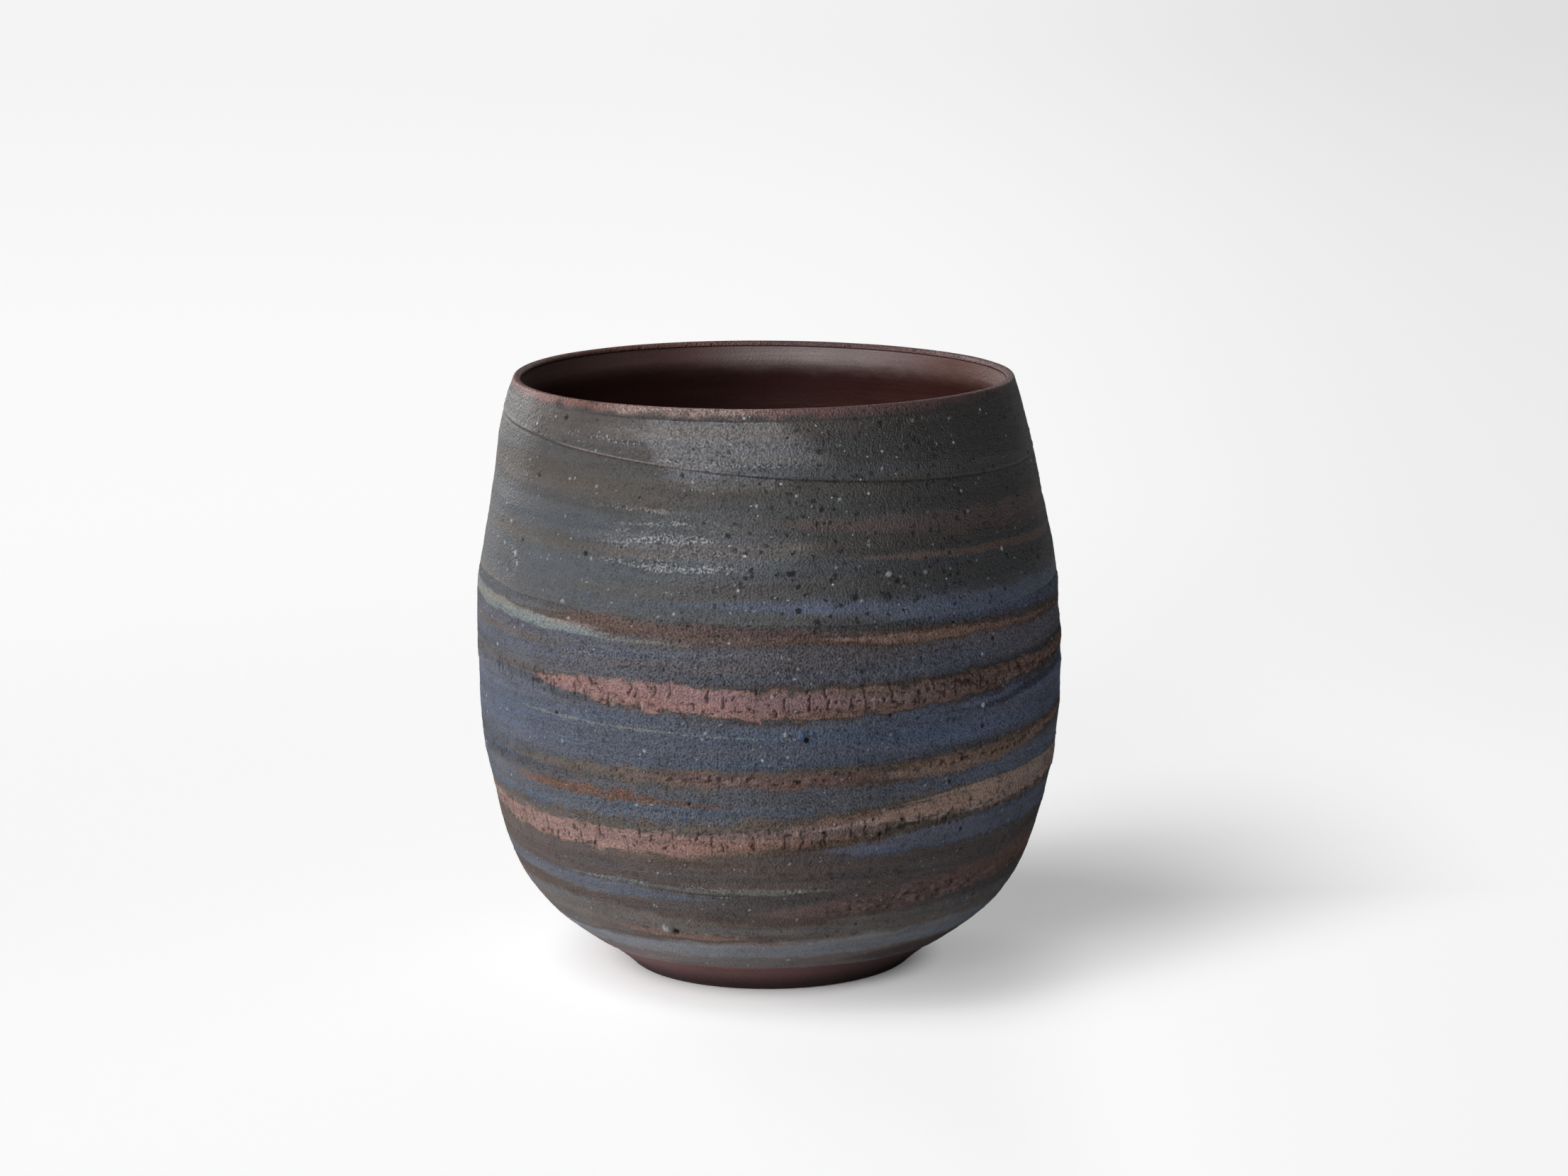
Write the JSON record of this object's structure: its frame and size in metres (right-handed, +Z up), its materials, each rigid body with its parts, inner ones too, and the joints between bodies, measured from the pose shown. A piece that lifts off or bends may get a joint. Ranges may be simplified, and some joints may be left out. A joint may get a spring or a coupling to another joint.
{
  "type": "guinomi sake cup",
  "caption": "Round-bellied wheel-thrown sake cup of red clay with a thin rounded lip, a small turned foot and a cracked matte skin of marbled grey, blue, brown and rose clay bands.",
  "frame": {"origin": "centre of the foot on the plane the cup stands on", "axes": "+Z up along the cup's axis, -Y towards the front that the picture shows, +X to its right"},
  "size_m": [0.068, 0.068, 0.0692],
  "materials": {
    "red_clay": "unglazed, burnished satin",
    "grey_clay": "unglazed, matte and pitted",
    "umber_clay": "unglazed, matte and crackled",
    "blue_clay": "unglazed, matte with blue grains",
    "rose_clay": "unglazed, matte with upright cracks",
    "rust_clay": "unglazed, matte and crackled"
  },
  "bodies": {
    "root": {"clay_body": "red_clay", "foot_blue_band": "blue_clay", "lower_umber_band": "umber_clay", "lower_rose_band": "rose_clay", "lower_blue_band": "blue_clay", "umber_band": "umber_clay", "middle_blue_band": "blue_clay", "upper_rose_band": "rose_clay", "upper_blue_band": "blue_clay", "rust_band": "rust_clay", "slate_band": "grey_clay", "shoulder_umber_band": "umber_clay", "rim_grey_band": "grey_clay"}
  },
  "joints": []
}
